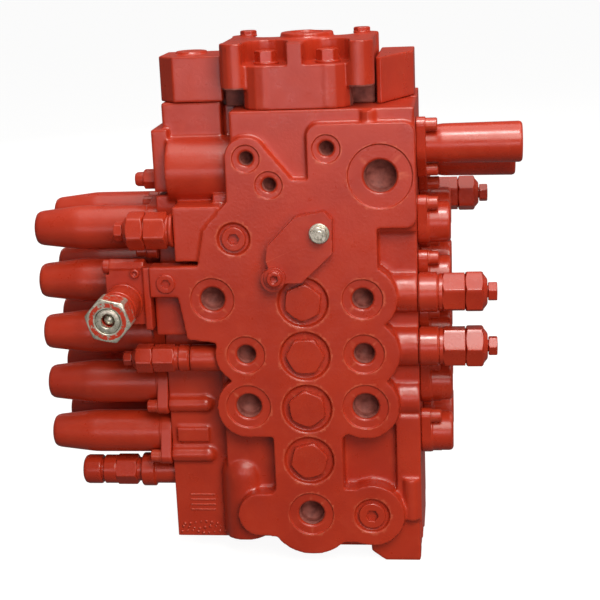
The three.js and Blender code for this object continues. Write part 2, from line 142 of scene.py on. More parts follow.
def make_studio():
    """Soft panels round the valve. Some only fill shadows, and some only make highlights."""
    bpy.context.scene.view_settings.view_transform = "Standard"
    make_world()
    middle = (0, 0.04, 0.32)
    area_light("overhead", (0.3, 0.1, 3.0), (0, 0.1, 0), (2.8, 2.8), 58, (1.0, 0.96, 0.90))
    area_light("key", (0.8, -2.2, 2.3), middle, (2.0, 1.5), 70, (1.0, 0.95, 0.87))
    area_light(
        "low_panel", (-0.1, -1.95, 0.45), (-0.1, 0, 0.45), (1.5, 0.4), 7.5, (1.0, 0.84, 0.88),
        diffuse=False)
    area_light(
        "front_fill", (1.5, -2.6, 0.5), (0, 0, 0.2), (1.6, 1.2), 28, (1.0, 0.93, 0.84),
        glossy=False)
    area_light(
        "glint", (0.15, -1.1, 2.6), middle, (0.4, 0.4), 32, (1.0, 0.97, 0.94), diffuse=False)
    area_light(
        "back_left", (-1.7, 2.5, 1.6), middle, (1.6, 1.6), 58, (1.0, 0.96, 0.92), glossy=False)
    area_light(
        "back_right", (2.3, 1.9, 1.1), middle, (1.2, 1.2), 30, (1.0, 0.95, 0.90), glossy=False)
    make_floor()


# ---------------------------------------------------------------- materials


class Nodes:
    """Small helper that adds and links shader nodes."""

    def __init__(self, name):
        self.material = bpy.data.materials.new(name)
        self.material.use_nodes = True
        self.tree = self.material.node_tree
        self.shader = self.tree.nodes["Principled BSDF"]
        self.coordinates = self.add("ShaderNodeTexCoord").outputs["Object"]

    def add(self, kind, **values):
        node = self.tree.nodes.new(kind)
        for key, value in values.items():
            setattr(node, key, value)
        return node

    def link(self, source, target):
        self.tree.links.new(source, target)

    def noise(self, size_mm, detail=3.0, rough=0.55):
        """Noise whose features are about size_mm across, from 0 to 1."""
        node = self.add("ShaderNodeTexNoise")
        node.inputs["Scale"].default_value = 1000 / size_mm
        node.inputs["Detail"].default_value = detail
        node.inputs["Roughness"].default_value = rough
        self.link(self.coordinates, node.inputs["Vector"])
        return node.outputs["Fac"]

    def ramp(self, factor, low, high, at):
        """Blends from one colour to another between two values of the factor."""
        node = self.add("ShaderNodeValToRGB")
        for element, place, value in zip(node.color_ramp.elements, at, (low, high)):
            element.position = place
            element.color = (*value, 1)
        self.link(factor, node.inputs["Fac"])
        return node.outputs["Color"]

    def spread(self, factor, low, high, start=0.3, end=0.7):
        """Carries factor, from start to end, onto the range low to high."""
        node = self.add("ShaderNodeMapRange")
        node.inputs["From Min"].default_value = start
        node.inputs["From Max"].default_value = end
        node.inputs["To Min"].default_value = low
        node.inputs["To Max"].default_value = high
        self.link(factor, node.inputs["Value"])
        return node.outputs["Result"]

    def mix(self, factor, under, over):
        """Lays the colour over on the colour that comes from under, where the factor is 1."""
        node = self.add("ShaderNodeMix", data_type="RGBA")
        self.link(factor, node.inputs["Factor"])
        self.link(under, node.inputs["A"])
        node.inputs["B"].default_value = (*over, 1)
        return node.outputs["Result"]

    def math(self, operation, a, b):
        node = self.add("ShaderNodeMath", operation=operation, use_clamp=True)
        self.link(a, node.inputs[0])
        self.link(b, node.inputs[1])
        return node.outputs["Value"]

    def place(self, centre_mm, share=(1, 1, 1)):
        """Object coordinates in millimetres from a centre, each scaled by its share."""
        away = self.add("ShaderNodeVectorMath", operation="SUBTRACT")
        away.inputs[1].default_value = [c * MM for c in centre_mm]
        self.link(self.coordinates, away.inputs[0])
        scale = self.add("ShaderNodeVectorMath", operation="MULTIPLY")
        scale.inputs[1].default_value = [part / MM for part in share]
        self.link(away.outputs["Vector"], scale.inputs[0])
        return scale.outputs["Vector"]

    def length(self, vector):
        node = self.add("ShaderNodeVectorMath", operation="LENGTH")
        self.link(vector, node.inputs[0])
        return node.outputs["Value"]

    def part(self, vector, axis):
        node = self.add("ShaderNodeSeparateXYZ")
        self.link(vector, node.inputs["Vector"])
        return node.outputs[axis]

    def edges(self, start, end):
        """1 on convex edges, 0 on flats and in hollows."""
        geometry = self.add("ShaderNodeNewGeometry")
        return self.spread(geometry.outputs["Pointiness"], 0, 1, start, end)

    def bump(self, layers, edge_mm):
        """Stacks bump layers of (height, depth in mm, strength) over softened edges."""
        soft = self.add("ShaderNodeBevel", samples=4)
        soft.inputs["Radius"].default_value = edge_mm * MM
        normal = soft.outputs["Normal"]
        for height, depth, strength in layers:
            node = self.add("ShaderNodeBump")
            node.inputs["Distance"].default_value = depth * MM
            node.inputs["Strength"].default_value = strength
            self.link(height, node.inputs["Height"])
            self.link(normal, node.inputs["Normal"])
            normal = node.outputs["Normal"]
        self.link(normal, self.shader.inputs["Normal"])


RED = (0.47, 0.034, 0.011)
RED_DEEP = (0.37, 0.023, 0.008)
RED_DUSTY = (0.50, 0.048, 0.018)
# Lighter red for convex edges: partly paint rubbed thin, partly a painted highlight.
RED_RUBBED_AND_LIT = (0.62, 0.12, 0.06)
ZINC = (0.66, 0.65, 0.55)
ZINC_DULL = (0.36, 0.34, 0.27)
GRIME = (0.12, 0.10, 0.07)
STEEL = (0.52, 0.52, 0.53)
STEEL_STAINED = tuple(c * 0.7 for c in STEEL)
# The dull coat of the bores, which is also painted shade under the top block's ears
PRIMER_AND_SHADE = (0.33, 0.098, 0.080)
PRIMER_DEEP_AND_SHADE = (0.15, 0.036, 0.029)


def enamel(name, grain_mm, grain_depth, rough):
    """Sprayed enamel: orange peel over the grain of what is under it, with uneven film and dust."""
    n = Nodes(name)
    colour = n.ramp(n.noise(70, 2), RED_DEEP, RED, (0.22, 0.62))
    dust = n.spread(n.noise(16, 4), 0, 0.5, 0.52, 0.75)
    colour = n.mix(dust, colour, RED_DUSTY)
    # Convex edges are lighter in noisy patches: partly paint rubbed thin, partly a painted highlight.
    rubbed_and_lit = n.math("MULTIPLY", n.edges(0.54, 0.68), n.spread(n.noise(9, 3), 0.1, 0.75, 0.4, 0.65))
    n.link(n.mix(rubbed_and_lit, colour, RED_RUBBED_AND_LIT), n.shader.inputs["Base Color"])
    n.link(n.spread(n.noise(22, 4), *rough), n.shader.inputs["Roughness"])
    grain = (n.noise(grain_mm, 3), grain_depth, 0.55)
    orange_peel = (n.noise(1.6, 1), 0.10, 0.35)
    n.bump([grain, orange_peel], edge_mm=0.9)
    return n.material


def zinc_colour(n):
    metal = n.ramp(n.noise(6, 4), ZINC_DULL, ZINC, (0.32, 0.6))
    return n.mix(n.spread(n.noise(1.8, 2), 0, 0.35, 0.58, 0.8), metal, GRIME)


def bare_zinc(name):
    """Zinc plate, a little stained, with traces of overspray."""
    n = Nodes(name)
    over = n.spread(n.noise(9, 4), 0, 0.8, 0.66, 0.7)
    n.link(n.mix(over, zinc_colour(n), RED), n.shader.inputs["Base Color"])
    n.link(n.spread(over, 0.65, 0), n.shader.inputs["Metallic"])
    n.link(n.spread(n.noise(4, 3), 0.2, 0.4), n.shader.inputs["Roughness"])
    n.bump([(n.noise(1.2, 2), 0.05, 0.3)], edge_mm=0.4)
    return n.material


def worn_nut(name, node):
    """A zinc nut that was painted over. A wrench wore the paint off its corners and rims."""
    n = Nodes(name)
    low, high = (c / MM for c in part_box(node))
    middle = (low + high) / 2
    across = n.length(n.place((middle.x, 0, middle.z), (1, 0, 1)))
    behind = n.part(n.place((0, low.y, 0)), "Y")
    # Paint is left between the rim of the mouth and the chamfer, and on the sides between the corners.
    off_mouth = n.spread(across, 0, 1, 15.4, 16.6)
    off_chamfer = n.spread(across, 1, 0, 20.2, 21.6)
    off_front = n.spread(behind, 0, 1, 1.5, 4.5)
    off_corners = n.spread(across, 1, 0, 24.7, 25.9)
    face = n.math("MULTIPLY", off_mouth, off_chamfer)
    side = n.math("MULTIPLY", off_front, off_corners)
    kept = n.math("MAXIMUM", face, side)
    chipped = n.math("MULTIPLY", kept, n.spread(n.noise(5, 5, 0.65), 0, 1, 0.36, 0.5))
    painted = n.spread(chipped, 0, 1, 0.42, 0.55)
    n.link(n.mix(painted, zinc_colour(n), RED), n.shader.inputs["Base Color"])
    n.link(n.spread(painted, 0.65, 0, 0, 1), n.shader.inputs["Metallic"])
    n.link(n.spread(n.noise(4, 3), 0.22, 0.4), n.shader.inputs["Roughness"])
    n.bump([(painted, 0.15, 0.7), (n.noise(1.2, 2), 0.05, 0.3)], edge_mm=0.5)
    return n.material


def ground_steel(name):
    """Ground steel with fine lines across its length and slight staining."""
    line_mm = 0.5
    n = Nodes(name)
    n.link(n.ramp(n.noise(12, 3), STEEL_STAINED, STEEL, (0.3, 0.6)), n.shader.inputs["Base Color"])
    n.shader.inputs["Metallic"].default_value = 1.0
    wave = n.add("ShaderNodeTexWave", wave_type="BANDS", bands_direction="X")
    wave.inputs["Scale"].default_value = 1000 / line_mm
    wave.inputs["Distortion"].default_value = 1.5
    n.link(n.coordinates, wave.inputs["Vector"])
    n.link(n.spread(n.noise(8, 3), 0.16, 0.31), n.shader.inputs["Roughness"])
    n.bump([(wave.outputs["Fac"], 0.02, 0.4)], edge_mm=0.3)
    return n.material


def bore_primer_and_shade(name):
    """The dull brown-mauve inside of a threaded port, where the overspray turned thin. It is also laid
    as painted shade on the faces under the top block's ears.
    """
    n = Nodes(name)
    n.link(n.ramp(n.noise(9, 4), PRIMER_DEEP_AND_SHADE, PRIMER_AND_SHADE, (0.3, 0.65)), n.shader.inputs["Base Color"])
    n.shader.inputs["Specular IOR Level"].default_value = 0.15
    n.link(n.spread(n.noise(6, 3), 0.42, 0.6), n.shader.inputs["Roughness"])
    n.bump([(n.noise(2.5, 3), 0.1, 0.4)], edge_mm=0.3)
    return n.material


MATERIALS = {
    "cast": enamel("cast_enamel", 3.4, 0.32, (0.26, 0.37)),
    "fine": enamel("fine_enamel", 5.0, 0.12, (0.22, 0.33)),
    "zinc": worn_nut("worn_nut", "adapter_fitting"),
    "bolt": bare_zinc("bare_zinc"),
    "steel": ground_steel("ground_steel"),
    # The dull coat of the bores, which is also painted shade under the top block's ears.
    "bore": bore_primer_and_shade("bore_primer_and_shade"),
}

# ---------------------------------------------------------------- mesh building

# Each shell is built along +X in millimetres and then turned onto one of these directions.
TURN = {
    "x": Matrix.Identity(4),
    "-x": Matrix.Rotation(math.pi, 4, "Z"),
    "y": Matrix.Rotation(math.pi / 2, 4, "Z"),
    "-y": Matrix.Rotation(-math.pi / 2, 4, "Z"),
    "z": Matrix.Rotation(-math.pi / 2, 4, "Y"),
    "-z": Matrix.Rotation(math.pi / 2, 4, "Y"),
}


def rings(bm, ring_points):
    """Skins a row of point rings into a closed shell. A ring of one point is a pole."""
    made = [[bm.verts.new(p) for p in ring] for ring in ring_points]
    for a, b in zip(made, made[1:]):
        count = max(len(a), len(b))
        for i in range(count):
            j = (i + 1) % count
            corners = [a[i % len(a)], a[j % len(a)], b[j % len(b)], b[i % len(b)]]
            unique = list(dict.fromkeys(corners))
            if len(unique) > 2:
                bm.faces.new(unique)
    for ring in (made[0], made[-1]):
        if len(ring) > 2:
            bm.faces.new(ring)


def round_ring(along, radius, sides):
    if radius < 1e-6:
        return [(along, 0, 0)]
    angles = (2 * math.pi * i / sides for i in range(sides))
    return [(along, radius * math.cos(a), radius * math.sin(a)) for a in angles]


def lathe(profile, sides=48):
    """A shell turned about X, from (along, radius) pairs in millimetres."""
    bm = bmesh.new()
    rings(bm, [round_ring(along, radius, sides) for along, radius in profile])
    return bm


def tube(profile, sides=64):
    """A closed section of (along, radius) points turned about X, with a hole through it."""
    bm = bmesh.new()
    loops = [[bm.verts.new(p) for p in round_ring(along, radius, sides)] for along, radius in profile]
    for a, b in zip(loops, loops[1:] + loops[:1]):
        for i in range(sides):
            j = (i + 1) % sides
            bm.faces.new([a[i], a[j], b[j], b[i]])
    return bm


def cylinder(radius, start, end, sides=64):
    return lathe([(start, 0), (start, radius), (end, radius), (end, 0)], sides)


def hex_radius(angle, flats):
    """Distance from the axis to a hexagon's side, with the corners rounded off a little."""
    turn = (angle % (math.pi / 3)) - math.pi / 6
    return min(flats / 2 / math.cos(turn), flats / math.sqrt(3) * 0.985)


def hex_bar(start, end, flats, chamfer_start=True, chamfer_end=True, twist=0.0):
    """A hexagon along X with the usual turned chamfer, which cuts the corners back in arcs."""
    sides = 72
    slope = 0.58
    face = flats / 2 * 0.97
    angles = [2 * math.pi * i / sides for i in range(sides)]
    side = [hex_radius(a + twist, flats) for a in angles]
    inner = [min(r, face) for r in side]

    def ring(along, radii):
        return [(a, r * math.cos(t), r * math.sin(t)) for a, r, t in zip(along, radii, angles)]

    def drop(on):
        return [max(0, r - face) * slope if on else 0 for r in side]

    rows = []
    if chamfer_start:
        rows.append(ring([start] * sides, inner))
    rows.append(ring([start + d for d in drop(chamfer_start)], side))
    rows.append(ring([end - d for d in drop(chamfer_end)], side))
    if chamfer_end:
        rows.append(ring([end] * sides, inner))
    bm = bmesh.new()
    rings(bm, rows)
    return bm


def hex_socket(shell, limit, flats, twist=0.0):
    """Makes the round hole inside a radius limit hexagonal, in the end of a shell along X."""
    for vertex in shell.verts:
        reach = math.hypot(vertex.co.y, vertex.co.z)
        if 0.1 < reach < limit:
            angle = math.atan2(vertex.co.z, vertex.co.y)
            scale = hex_radius(angle + twist, flats) / reach
            vertex.co.y *= scale
            vertex.co.z *= scale
    return shell


def prism(outline, low, high):
    """An outline of (y, z) points, extruded along X from low to high."""
    bm = bmesh.new()
    rings(bm, [[(x, y, z) for y, z in outline] for x in (low, high)])
    return bm


def block(low, high):
    """A box between two corners in millimetres, already in place."""
    bm = bmesh.new()
    (x0, y0, z0), (x1, y1, z1) = low, high
    rings(bm, [[(x, y0, z0), (x, y1, z0), (x, y1, z1), (x, y0, z1)] for x in (x0, x1)])
    return bm


def placed(bm, direction="x", at=(0, 0, 0)):
    """Turns a shell that was built along X onto a direction, and moves it to a place."""
    bm.transform(Matrix.Translation(at) @ TURN[direction])
    return bm


def all_placed(shells, direction, at):
    return [placed(shell, direction, at) for shell in shells]


def bar(radius, start, end, direction, at=(0, 0, 0), sides=64):
    """A plain round bar along a direction, from start to end as measured from a place."""
    return placed(cylinder(radius, start, end, sides), direction, at)


def arc(degrees, steps):
    """Evenly spaced angles from 0 to a number of degrees, in radians."""
    return [math.radians(degrees) * i / steps for i in range(steps + 1)]


def ball(radius, at, sides=32):
    profile = [(-radius * math.cos(a), radius * math.sin(a)) for a in arc(180, sides // 2)]
    return placed(lathe(profile, sides), "x", at)


def joined(shells):
    """Puts separate closed shells into one, with all faces looking outward."""
    whole = bmesh.new()
    for shell in shells:
        bmesh.ops.recalc_face_normals(shell, faces=shell.faces)
        part = bpy.data.meshes.new("part")
        shell.to_mesh(part)
        shell.free()
        whole.from_mesh(part)
        bpy.data.meshes.remove(part)
    return whole


def shade(piece, angle):
    """Smooth shading, with sharp edges where faces meet at more than an angle in degrees."""
    piece.data.shade_smooth()
    piece.data.set_sharp_from_angle(angle=math.radians(angle))


def build(name, shells):
    """Makes one object from shells in millimetres, with smooth faces and sharp corners."""
    whole = joined(shells)
    whole.transform(Matrix.Scale(MM, 4))
    mesh = bpy.data.meshes.new(name)
    whole.to_mesh(mesh)
    whole.free()
    piece = bpy.data.objects.new(name, mesh)
    bpy.context.scene.collection.objects.link(piece)
    shade(piece, 32)
    return piece


def flat_faces(piece):
    """Lets each large face keep its own normal, so shading bends only at the rounded edges."""
    modifier = piece.modifiers.new("normals", "WEIGHTED_NORMAL")
    modifier.keep_sharp = True
    modifier.weight = 80


def add_bevel(piece, width_mm):
    modifier = piece.modifiers.new("edge", "BEVEL")
    modifier.width = width_mm * MM
    modifier.segments = 2
    modifier.limit_method = "ANGLE"
    modifier.angle_limit = math.radians(35)
    flat_faces(piece)


def settle(piece):
    """Applies all modifiers."""
    graph = bpy.context.evaluated_depsgraph_get()
    mesh = bpy.data.meshes.new_from_object(piece.evaluated_get(graph))
    piece.modifiers.clear()
    piece.data = mesh


def carve(piece, shells):
    """Cuts closed shells out of a piece, in turn, and leaves sharp machined edges."""
    for shell in shells:
        tool = build("tool", [shell])
        modifier = piece.modifiers.new("cut", "BOOLEAN")
        modifier.operation = "DIFFERENCE"
        modifier.object = tool
        modifier.solver = "MANIFOLD"
        before = len(piece.data.vertices)
        settle(piece)
        if len(piece.data.vertices) in (0, before):
            print("carve changed nothing on", piece.name)
        bpy.data.objects.remove(tool)


def dress(piece, material, body=HOUSING, stands_for=()):
    """Gives a piece its material, the body that it rides on and the nodes it replaces."""
    piece.data.materials.clear()
    piece.data.materials.append(MATERIALS[material])
    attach(piece, body)
    if stands_for:
        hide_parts(*stands_for)


def fitting(name, shells, edge_mm, body=HOUSING, stands_for=()):
    """A turned or milled piece of painted steel, with its edges broken."""
    piece = build(name, shells)
    add_bevel(piece, edge_mm)
    dress(piece, "fine", body, stands_for)


def node_box(node):
    """The lower and upper corners of a CAD node in millimetres."""
    return [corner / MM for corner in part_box(node)]


def node_centre(node):
    low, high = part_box(node)
    return (low + high) / 2 / MM


# ---------------------------------------------------------------- castings

PORT_FACE = -64.0
REAR_FACE = 148.0
SPOOL_PITCH = 63
# A stated opening is a box inside its round bore. It is this share of the bore across.
BORE_SHARE = 0.67
# The machined rings round the ports, and the seats of the check plugs and the port plugs
SPOT_DEPTH = 1.8
CHECK_SEAT = 28.0
CHECK_SEAT_DEPTH = 4.8
PLUG_SEAT_DEPTH = 4.2
CHECK_BORE = 18.2
CHECK_FLOOR = -32.8
# How deep the front holes are filled before casting, and where the lobes end behind the face
FRONT_FILL = 26
LOBE_BACK = -40
# The radius of a bore's rounded mouth
MOUTH = 3.0
# (x, z, radius) of the seats of the two port plugs on the front face
PLUG_SEATS = [(-74.6, 393.4, 18.0), (70.8, 62.2, 20.0)]
# (x, z, radius) of the round lobes of the port face
LOBES = [
    (-56.7, 483, 24), (-102.4, 324, 38), (-67.4, 258.5, 35.5), (-67.4, 195, 36.5), (67, 322.5, 39),
    (67, 258.5, 40.5), (67, 195.7, 38.5), (0, 64, 51), (-60, 62, 26.5), (71, 62, 37.5),
]
# (radius, from x, to x, y, z) of the round bosses that run across, and the barrel
CROSS_BOSSES = [
    (23, 70, 128, -38, 324.5), (23, 70, 128, -38, 261.2), (21, 70, 128, -34, 198),
    (15.5, -134.6, -80, -42, 249), (37, -152, -75, -8, 464),
]
CHECKS = (1, 2, 3, 4)


def cad_shell(node):
    """The CAD node's surface as a closed shell in millimetres."""
    bm = bmesh.new()
    bm.from_mesh(NODES[node].data)
    bmesh.ops.remove_doubles(bm, verts=bm.verts, dist=1e-6)
    bm.transform(Matrix.Scale(1 / MM, 4))
    return bm


def cast(name, shells, voxel_mm, smoothing, keep=0.35):
    """
    Fuses shells on a grid of voxel_mm and rounds every corner in and out, as a sand casting's are.
    keep is the share of the faces that stays.
    """
    piece = build(name, shells)
    remesh = piece.modifiers.new("fuse", "REMESH")
    remesh.mode = "VOXEL"
    remesh.voxel_size = voxel_mm * MM
    smooth = piece.modifiers.new("round", "SMOOTH")
    smooth.factor = 0.5
    smooth.iterations = smoothing
    thin = piece.modifiers.new("thin", "DECIMATE")
    thin.ratio = keep
    settle(piece)
    return piece


def finish_cast(piece):
    shade(piece, 30)
    flat_faces(piece)


def two_coats(piece, thin_paint_and_shade):
    """Gives the faces that the test picks by their centre the dull finish, and the others the enamel.
    The dull finish is thin paint inside bores, and painted shade under the top block's ears.
    """
    piece.data.materials.clear()
    piece.data.materials.append(MATERIALS["cast"])
    piece.data.materials.append(MATERIALS["bore"])
    marks = [int(thin_paint_and_shade(polygon.center / MM)) for polygon in piece.data.polygons]
    piece.data.polygons.foreach_set("material_index", marks)


def paint_bores(piece, ports, face, inward):
    """Gives the inside of each bore the dull finish. Its metal lies inward along Y, as 1 or -1."""
    start = SPOT_DEPTH + MOUTH
    end = 35

    def in_bore(c):
        depth = (c.y - face) * inward
        return start < depth < end and any(
            (c.x - x) ** 2 + (c.z - z) ** 2 < (r + 0.6) ** 2 for x, z, r in ports)

    two_coats(piece, in_bore)


def ports_on(face):
    """(x, z, bore radius) of each threaded port whose stated opening crosses a face."""
    found = []
    for low, high in OPENINGS.values():
        if low[1] < face * MM < high[1]:
            x, z = ((low[i] + high[i]) / 2 / MM for i in (0, 2))
            radius = (high[0] - low[0]) / 2 / MM / BORE_SHARE
            found.append((x, z, radius))
    return found


def spot_radius(bore):
    """The machined ring is wider round a wider bore."""
    if bore > 16:
        return bore + 17.5
    if bore > 10:
        return bore + 11.0
    return bore + 7.4


def lip(depth, radius, size, steps=5):
    """(depth, radius) points round a convex lip, from the face into the hole."""
    return [
        (depth + size * (1 - math.cos(a)), radius + size * (1 - math.sin(a)))
        for a in arc(90, steps)
    ]


def hollow(depth, radius, size):
    """(depth, radius) points round a concave corner, from the wall to the bottom at depth."""
    return [
        (depth - size * (1 - math.sin(a)), radius - size * (1 - math.cos(a))) for a in arc(90, 4)]


def bore_cutter(radius, depth):
    """A threaded bore with a rounded mouth and a bowl for a floor. It runs along X from 0."""
    pitch = 2.0
    crest = 0.75
    profile = [(-3, 0), (-3, radius + MOUTH), *lip(0, radius, MOUTH)]
    along = 4.6
    while along < depth - 9:
        profile += [(along, radius), (along + pitch / 2, radius - crest)]
        along += pitch
    bowl = [(-7, 0.95), (-3.5, 0.86), (-0.8, 0.62), (1, 0.32), (1.6, 0)]
    profile += [(depth + d, radius * share) for d, share in bowl]
    return lathe(profile, 56)


def spot_cutter(radius, depth):
    """A shallow round recess whose step is soft under the paint."""
    half = depth / 2
    profile = [(-3, 0), (-3, radius + half), *lip(0, radius, half), *hollow(depth, radius, half)[1:]]
    return lathe([*profile, (depth, 0)], 72)


def corner_dome():
    """The round column with a domed top, at the casting's lower left corner."""
    radii = [(78, 27.2), (84, 26.5), (91, 24.2), (96, 20.4), (99, 14.5), (100, 0)]
    return placed(lathe([(0, 0), (0, 27.2), *radii], 56), "z", (-82, -24, 24))


def front_casting():
    """The front half. Its holes are filled before it is cast, and machined afterwards."""
    ports = ports_on(PORT_FACE)
    checks = [node_centre(f"check_plug_{i}") for i in CHECKS]
    spots = [(x, z, spot_radius(r), SPOT_DEPTH) for x, z, r in ports]
    spots += [(c.x, c.z, CHECK_SEAT, CHECK_SEAT_DEPTH) for c in checks]
    spots += [(x, z, r, PLUG_SEAT_DEPTH) for x, z, r in PLUG_SEATS]
    shells = [cad_shell("front_body")]
    shells += [bar(r + 0.3, 0, FRONT_FILL, "y", (x, PORT_FACE, z), 48) for x, z, r, depth in spots]
    shells += [bar(r + 0.15, PORT_FACE, LOBE_BACK, "y", (x, 0, z)) for x, z, r in LOBES]
    shells += [bar(r + 0.2, start, end, "x", (0, y, z)) for r, start, end, y, z in CROSS_BOSSES]
    shells.append(corner_dome())
    shells += [ball(10, (-125, -23, 123.5 + SPOOL_PITCH * i)) for i in (0, 1)]
    piece = cast("front_casting", shells, 1.6, 7)
    seats = [placed(spot_cutter(r, depth), "y", (x, PORT_FACE, z)) for x, z, r, depth in spots]
    bores = [placed(bore_cutter(r, 19), "y", (x, PORT_FACE + SPOT_DEPTH, z)) for x, z, r in ports]
    bores += [bar(CHECK_BORE, PORT_FACE, CHECK_FLOOR, "y", (c.x, 0, c.z), 40) for c in checks]
    under_foot = block((-70, -30, -5), (-24, 60, 16.6))
    carve(piece, [joined(seats), joined(bores), under_foot])
    finish_cast(piece)
    dress(piece, "cast", stands_for=("front_body",))
    paint_bores(piece, ports, PORT_FACE, 1)


def rear_casting():
    """The rear half, with five ports on its rear face."""
    ports = ports_on(REAR_FACE)
    shells = [cad_shell("rear_body")]
    shells += [bar(r + 1, 0, 31, "-y", (x, REAR_FACE, z), 48) for x, z, r in ports]
    piece = cast("rear_casting", shells, 2.0, 6)
    seats = [
        placed(spot_cutter(spot_radius(r), SPOT_DEPTH), "-y", (x, REAR_FACE, z))
        for x, z, r in ports
    ]
    bores = [placed(bore_cutter(r, 27), "-y", (x, REAR_FACE - SPOT_DEPTH, z)) for x, z, r in ports]
    carve(piece, [joined(seats), joined(bores)])
    finish_cast(piece)
    dress(piece, "cast", stands_for=("rear_body",))
    paint_bores(piece, ports, REAR_FACE, -1)


def top_port_casting():
    """The top block. Its port and the ring round it are machined after casting."""
    low, high = OPENINGS["top_port"]
    x, y = ((low[i] + high[i]) / 2 / MM for i in (0, 1))
    block_low, block_high = node_box("top_port_block")
    mouth = (x, y, block_high.z)
    filled = bar(15, -1, 34, "z", (x, y, block_high.z - 35), 40)
    piece = cast("top_port_casting", [cad_shell("top_port_block"), filled], 1.3, 7)
    carve(piece, [placed(spot_cutter(19, 2), "-z", mouth), placed(bore_cutter(12, 38), "-z", mouth)])
    finish_cast(piece)
    dress(piece, "cast", stands_for=("top_port_block",))
    # Painted shade: the faces under the two front ears get the dark dull coat, so that they look
    # shaded.
    ear_side = 58
    ear_underside = 558
    ear_back = block_low.y + 48
    two_coats(piece, lambda c: abs(c.x) > ear_side and c.z < ear_underside and c.y < ear_back)


def small_castings():
    """The three blocks that have nothing machined into them."""
    for node, name, voxel in (
        ("upper_left_block", "upper_left_casting", 1.2),
        ("upper_right_block", "upper_right_casting", 1.2),
        ("adapter_block", "adapter_casting", 0.9),
    ):
        piece = cast(name, [cad_shell(node)], voxel, 5)
        finish_cast(piece)
        dress(piece, "cast", stands_for=(node,))


# ---------------------------------------------------------------- caps


def spring_profile(length):
    """A long sleeve with a conical nose and a rounded tip."""
    return [
        (0, 0), (0, 25.5), (92, 25.5), (97, 25.35), (102, 24.9), (length - 7, 20.3),
        (length - 3.4, 19.3), (length - 1, 17.6), (length, 15.4), (length, 0),
    ]


def pilot_profile(length):
    """A short sleeve with a shallow dimple in its end."""
    return [
        (0, 0), (0, 23.6), (length - 5, 23.6), (length - 2.2, 22.8), (length - 0.6, 21),
        (length, 19), (length, 8), (length - 1.2, 6.5), (length - 1.2, 0),
    ]


# Which way it points, profile, material, thickness and radius of the flange, (y, z) of a screw
CAPS = {
    "spring": ("-x", spring_profile, "cast", 13, 26, (26, -23)),
    "pilot": ("x", pilot_profile, "fine", 11, 25, (20, 25.5)),
}
# This cap has its two screws on the other diagonal.
TURNED_CAP = "spring_cap_front_3"
CAP_EAR = 9.0
# The radius that a relief valve's hexagon needs beside a pilot cap
VALVE_ROOM = 24.2


def flange_outline(radius, ears):
    """The tight outline round a circle and two bolt ears, as (y, z) points."""
    circles = [(0, 0, radius), *((y, z, CAP_EAR) for y, z in ears)]
    points = []
    for i in range(72):
        angle = 2 * math.pi * i / 72
        c, s = math.cos(angle), math.sin(angle)
        y, z, r = max(circles, key=lambda k: k[0] * c + k[1] * s + k[2])
        points.append((y + r * c, z + r * s))
    return points


def socket_head(radius, height):
    """A socket-head cap screw along X, with a chamfered rim and a hexagon socket."""
    head = lathe([
        (0, 0), (0, radius), (height - 1, radius), (height, radius - 1),
        (height, radius * 0.56), (height - 0.6, radius * 0.52), (height * 0.45, radius * 0.52),
        (height * 0.38, 0),
    ], 32)
    return hex_socket(head, radius * 0.54, radius * 0.94, 0.3)


def scallop(piece, y, z):
    """Hollows a pilot cap where a relief valve passes close in front of it."""
    for name in ("right_upper", "right_lower", "right_rear"):
        low, high = node_box(f"relief_valve_{name}")
        valve_y, valve_z = (low.y + high.y) / 2, (low.z + high.z) / 2
        if math.hypot(valve_y - y, valve_z - z) < 60:
            settle(piece)
            carve(piece, [bar(VALVE_ROOM, 120, 175, "x", (0, valve_y, valve_z), 56)])


def cap_piece(kind, row, index):
    """Makes one end cap with its flange, and returns the shells of its screws and washers."""
    node = f"{kind}_cap_{row}_{index}"
    direction, profile_for, material, thick, radius, (dy, dz) = CAPS[kind]
    low, high = node_box(node)
    spool = node_centre(f"spool_{row}_{index}")
    y, z = spool.y, spool.z
    face, out = (low.x, 1) if direction == "x" else (high.x, -1)
    if row == "front":
        dy = -dy
    if node == TURNED_CAP:
        dz = -dz
    ears = [(dy, dz), (-dy, -dz)]
    profile = profile_for(high.x - low.x)
    sleeve = profile[1][1]
    collar = [
        (0, 0), (0, radius), (thick, radius), (thick + 2.5, sleeve + 0.2), (thick + 2.5, 0)]
    outline = [(out * ear_y, ear_z) for ear_y, ear_z in flange_outline(radius, ears)]
    shells = [lathe(profile, 64), prism(outline, 0, thick), lathe(collar, 64)]
    piece = build(f"{node}_shell", all_placed(shells, direction, (face, y, z)))
    add_bevel(piece, 1.2)
    if kind == "pilot":
        scallop(piece, y, z)
    dress(piece, material, stands_for=(node,))
    return [
        placed(shell, direction, (face + out * thick, y + ear_y, z + ear_z))
        for ear_y, ear_z in ears
        for shell in (socket_head(7.6, 12.5), cylinder(8.6, 0, 1.4, 32))
    ]


def all_caps():
    """Twenty caps. The screws of each row and kind are one piece."""
    for row in ("front", "rear"):
        for kind in CAPS:
            screws = []
            for index in range(1, 6):
                screws += cap_piece(kind, row, index)
            dress(build(f"{kind}_cap_screws_{row}", screws), "fine")


